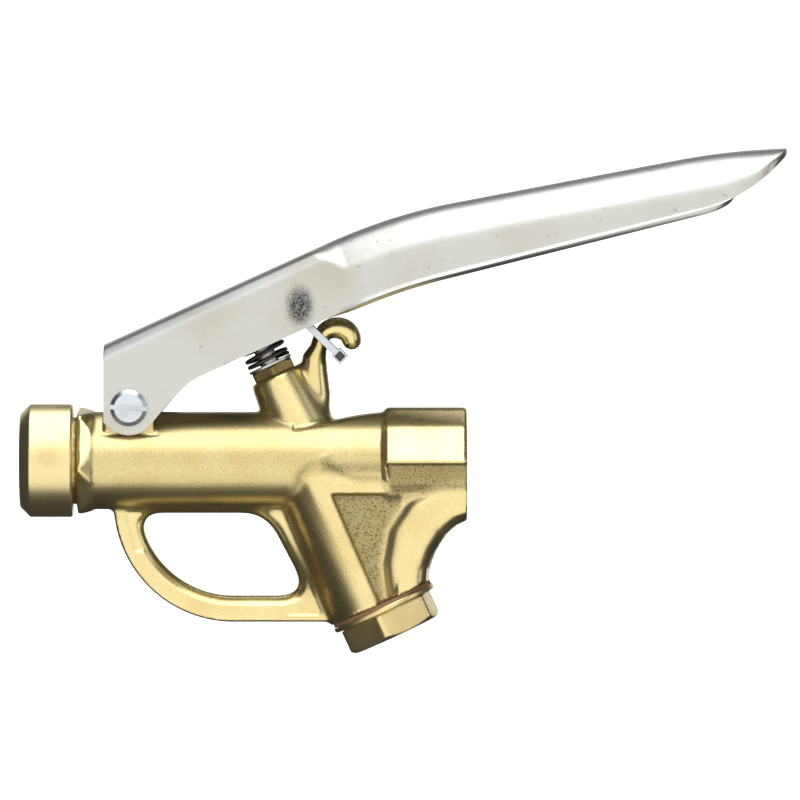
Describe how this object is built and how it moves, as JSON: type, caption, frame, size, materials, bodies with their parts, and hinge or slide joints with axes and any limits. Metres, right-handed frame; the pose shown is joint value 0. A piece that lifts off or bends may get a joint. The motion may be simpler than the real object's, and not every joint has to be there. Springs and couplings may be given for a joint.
{
  "type": "fire hose nozzle",
  "caption": "Hand-held lever-operated water nozzle with a brass body, finger loop, poppet valve, screwed outlet ring and pressed lever with a hook keeper.",
  "frame": {"origin": "Centre of the inlet socket end face, on the main run axis.", "axes": "+X out of the inlet towards the hose, -X towards the jet, +Z to the lever side, Y across."},
  "size_m": [0.2288, 0.038, 0.1518],
  "materials": {
    "cast_brass": "cast brass with a fine-grained satin skin",
    "turned_brass": "turned brass, satin machining marks",
    "inner_brass": "machined brass",
    "nickel_plate": "satin nickel-plated pressed steel",
    "stainless": "turned stainless steel",
    "spring_steel": "oiled spring steel",
    "zinc_steel": "bright zinc-plated steel",
    "rubber": "black nitrile rubber",
    "sealing": "off-white fluoropolymer and fibre"
  },
  "bodies": {
    "nozzle_body": {"valve_body": "cast_brass", "outlet_ring": "turned_brass", "jet_insert": "turned_brass", "bottom_plug": "turned_brass", "valve_seat": "inner_brass", "gland_nut": "inner_brass", "pivot_bush": "inner_brass", "gland_washer": "stainless", "return_spring": "spring_steel", "closing_spring": "spring_steel", "pivot_screw": "zinc_steel", "pivot_lock_washer": "zinc_steel", "pivot_nut": "zinc_steel", "jet_washer": "rubber", "stem_packing": "sealing", "plug_gasket": "sealing", "pivot_washers": "sealing"},
    "stem": {"valve_stem": "stainless", "spring_cap": "stainless", "cap_clip": "spring_steel", "disc_seal": "rubber", "valve_disc": "inner_brass", "disc_nut": "inner_brass"},
    "lever_arm": {"lever": "nickel_plate", "keeper_pin": "zinc_steel"},
    "keeper": {"keeper_links": "zinc_steel", "keeper_bar": "zinc_steel"}
  },
  "joints": [
    {"name": "lever_pivot", "type": "hinge", "parent": "nozzle_body", "child": "lever_arm", "pos_m": [-0.1011, 0, 0.01605], "axis": [0, 1, 0], "range_deg": [0, 9], "stiffness_Nm_per_rad": 3.8, "springref_deg": -5.73},
    {"name": "stem_slide", "type": "slide", "parent": "nozzle_body", "child": "stem", "axis": [0.4226, 0, -0.9063], "range_m": [0, 0.0069], "deforming": ["return_spring", "closing_spring"]},
    {"name": "keeper_swing", "type": "hinge", "parent": "lever_arm", "child": "keeper", "pos_m": [-0.052, 0, 0.0448], "axis": [0, 1, 0], "range_deg": [-5, 8]}
  ],
  "couplings": [
    {"joint": "stem_slide", "follows": "lever_pivot", "m_per_rad": 0.0436}
  ]
}
